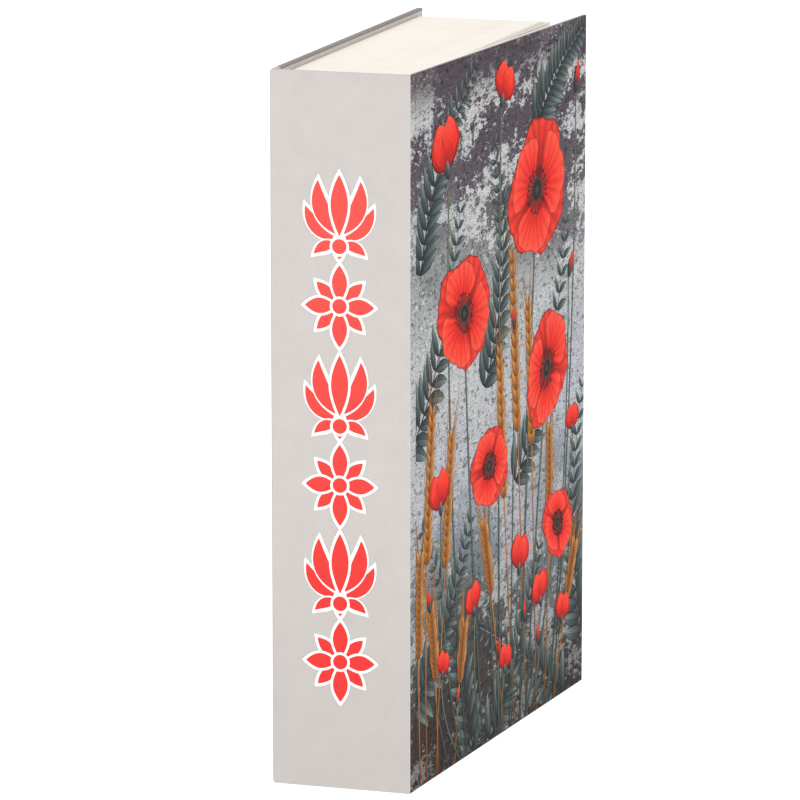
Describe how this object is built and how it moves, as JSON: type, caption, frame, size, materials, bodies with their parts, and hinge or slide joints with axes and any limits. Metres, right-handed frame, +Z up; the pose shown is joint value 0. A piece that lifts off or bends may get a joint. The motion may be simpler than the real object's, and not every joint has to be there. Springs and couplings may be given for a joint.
{
  "type": "book diversion safe",
  "caption": "Hardback book case with a hollow page block that holds a lockable steel cash box; the front cover swings open, and the box lid lifts on a piano hinge.",
  "frame": {"origin": "middle of the spine's tail edge, on the plane that the book stands on", "axes": "+Z up towards the head, +X from the back cover towards the front cover, +Y from the spine towards the fore-edge"},
  "size_m": [0.0645, 0.17, 0.25],
  "materials": {
    "spine_paper": "matt printed cover paper",
    "cover_print": "printed cover paper with a thin matt film",
    "greyboard": "raw greyboard",
    "endpaper": "uncoated endpaper",
    "joint_cloth": "lined joint paper and mull",
    "leaf_paper": "cut edges of uncoated leaves",
    "enamelled_steel": "black fine textured enamel",
    "zinc_steel": "bright zinc plated",
    "lock_chrome": "polished chrome plate",
    "lock_brass": "turned brass"
  },
  "bodies": {
    "case": {"spine_wrap": "spine_paper", "spine_board": "greyboard", "spine_lining": "joint_cloth", "back_cover_wrap": "cover_print", "back_cover_board": "greyboard", "back_pastedown": "endpaper", "base_gathering": "leaf_paper", "cut_gathering_1": "leaf_paper", "cut_gathering_2": "leaf_paper", "cut_gathering_3": "leaf_paper", "cut_gathering_4": "leaf_paper", "cash_box_tray": "enamelled_steel", "hinge_leaf_tray": "zinc_steel", "hinge_pin": "zinc_steel", "tray_rivet_1": "zinc_steel", "tray_rivet_2": "zinc_steel", "tray_rivet_3": "zinc_steel", "tray_rivet_4": "zinc_steel", "lock_strike": "zinc_steel"},
    "cover_joint": {"front_joint_strip": "joint_cloth"},
    "front_cover": {"front_cover_wrap": "cover_print", "front_cover_board": "greyboard", "front_pastedown": "endpaper"},
    "box_lid": {"cash_box_lid": "enamelled_steel", "hinge_leaf_lid": "zinc_steel", "lid_rivet_1": "zinc_steel", "lid_rivet_2": "zinc_steel", "lid_rivet_3": "zinc_steel", "lid_rivet_4": "zinc_steel", "lock_body": "lock_chrome", "lock_washer": "zinc_steel", "lock_nut": "zinc_steel"},
    "lock_core": {"lock_plug": "lock_brass", "lock_cam": "zinc_steel", "cam_screw": "zinc_steel"}
  },
  "joints": [
    {"name": "spine_crease", "type": "hinge", "parent": "case", "child": "cover_joint", "pos_m": [0.025, -0.0009, 0.125], "axis": [0, 0, -1], "range_deg": [-3.3, 75]},
    {"name": "board_crease", "type": "hinge", "parent": "cover_joint", "child": "front_cover", "pos_m": [0.02543, 0.00408, 0.125], "axis": [0, 0, -1], "range_deg": [0, 100]},
    {"name": "lid_hinge", "type": "hinge", "parent": "case", "child": "box_lid", "pos_m": [0.01875, 0.0139, 0.125], "axis": [0, 0, -1], "range_deg": [0, 90]},
    {"name": "key_turn", "type": "hinge", "parent": "box_lid", "child": "lock_core", "pos_m": [0.01924, 0.1259, 0.125], "axis": [-1, 0, 0], "range_deg": [0, 90]}
  ],
  "couplings": [
    {"joint": "lid_hinge", "follows": "board_crease", "ratio": 0.9}
  ]
}
